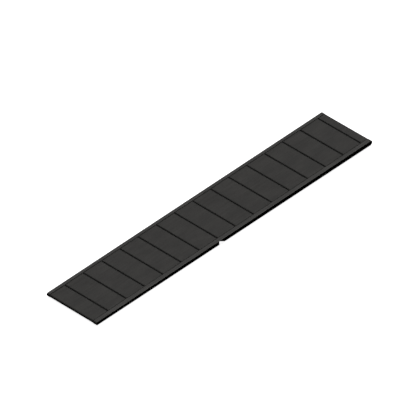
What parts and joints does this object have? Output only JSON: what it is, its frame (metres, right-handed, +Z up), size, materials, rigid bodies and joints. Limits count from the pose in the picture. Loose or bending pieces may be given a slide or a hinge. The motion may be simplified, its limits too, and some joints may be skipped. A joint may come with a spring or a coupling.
{
  "type": "cleated conveyor belt",
  "caption": "Flat rubber conveyor belt in a long closed loop, with low cross cleats, raised edge bands, an inner guide strip and a laced hinge splice.",
  "frame": {"origin": "under the middle of the loop's bounding box, on the surface that the lower cleats stand on", "axes": "+X along the loop towards its thicker end, +Y across the belt towards the edge with the narrower band, +Z up"},
  "size_m": [6.111, 1.04, 0.0995],
  "materials": {
    "cover_rubber": "matt fabric-backed black rubber with dust",
    "cleat_rubber": "moulded rubber, satin on the worn crest",
    "guide_rubber": "moulded rubber, smooth",
    "splice_steel": "pressed spring steel, slightly dulled"
  },
  "bodies": {
    "upper_run": {"upper_belt_run": "cover_rubber", "upper_left_curve": "cover_rubber", "upper_right_curve": "cover_rubber", "upper_tracking_guide": "guide_rubber", "upper_cleat_01": "cleat_rubber", "upper_cleat_02": "cleat_rubber", "upper_cleat_03": "cleat_rubber", "upper_cleat_04": "cleat_rubber", "upper_cleat_05": "cleat_rubber", "upper_cleat_06": "cleat_rubber", "upper_cleat_07": "cleat_rubber", "upper_cleat_08": "cleat_rubber", "upper_cleat_09": "cleat_rubber", "upper_cleat_10": "cleat_rubber", "upper_cleat_11": "cleat_rubber", "upper_cleat_12": "cleat_rubber", "upper_cleat_13": "cleat_rubber", "upper_cleat_14": "cleat_rubber", "upper_cleat_15": "cleat_rubber"},
    "left_bend": {"left_bend_upper_half": "cover_rubber", "left_bend_lower_half": "cover_rubber", "left_bend_upper_tooth": "guide_rubber", "left_bend_lower_tooth": "guide_rubber"},
    "lower_left_run": {"lower_left_belt_run": "cover_rubber", "lower_left_curve": "cover_rubber", "lower_left_tracking_guide": "guide_rubber", "lower_left_cleat_1": "cleat_rubber", "lower_left_cleat_2": "cleat_rubber", "lower_left_cleat_3": "cleat_rubber", "lower_left_cleat_4": "cleat_rubber", "lower_left_cleat_5": "cleat_rubber", "lower_left_cleat_6": "cleat_rubber", "lower_left_cleat_7": "cleat_rubber", "splice_clip_left_1": "splice_steel", "splice_clip_left_2": "splice_steel", "splice_clip_left_3": "splice_steel", "splice_clip_left_4": "splice_steel", "splice_clip_left_5": "splice_steel"},
    "right_bend": {"right_bend_upper_half": "cover_rubber", "right_bend_lower_half": "cover_rubber", "right_bend_upper_tooth": "guide_rubber", "right_bend_lower_tooth": "guide_rubber"},
    "lower_right_run": {"lower_right_belt_run": "cover_rubber", "lower_right_curve": "cover_rubber", "lower_right_tracking_guide": "guide_rubber", "lower_right_cleat_1": "cleat_rubber", "lower_right_cleat_2": "cleat_rubber", "lower_right_cleat_3": "cleat_rubber", "lower_right_cleat_4": "cleat_rubber", "lower_right_cleat_5": "cleat_rubber", "lower_right_cleat_6": "cleat_rubber", "lower_right_cleat_7": "cleat_rubber", "lower_right_cleat_8": "cleat_rubber", "splice_clip_right_1": "splice_steel", "splice_clip_right_2": "splice_steel", "splice_clip_right_3": "splice_steel", "splice_clip_right_4": "splice_steel", "splice_clip_right_5": "splice_steel"},
    "hinge_pin": {"splice_hinge_pin": "splice_steel"}
  },
  "joints": [
    {"name": "left_unroll_upper", "type": "hinge", "parent": "upper_run", "child": "left_bend", "pos_m": [-3.04677, 0, 0.06016], "axis": [0, 1, 0], "range_deg": [0, 89.9]},
    {"name": "left_unroll_lower", "type": "hinge", "parent": "left_bend", "child": "lower_left_run", "pos_m": [-3.04669, 0, 0.01777], "axis": [0, 1, 0], "range_deg": [0, 89.9]},
    {"name": "right_unroll_upper", "type": "hinge", "parent": "upper_run", "child": "right_bend", "pos_m": [3.04341, 0, 0.07907], "axis": [0, -1, 0], "range_deg": [0, 90.1]},
    {"name": "right_unroll_lower", "type": "hinge", "parent": "right_bend", "child": "lower_right_run", "pos_m": [3.04352, 0, 0.02104], "axis": [0, -1, 0], "range_deg": [0, 90.1]},
    {"name": "pin_pull", "type": "slide", "parent": "lower_right_run", "child": "hinge_pin", "axis": [0, -1, 0], "range_m": [0, 0.93]}
  ]
}
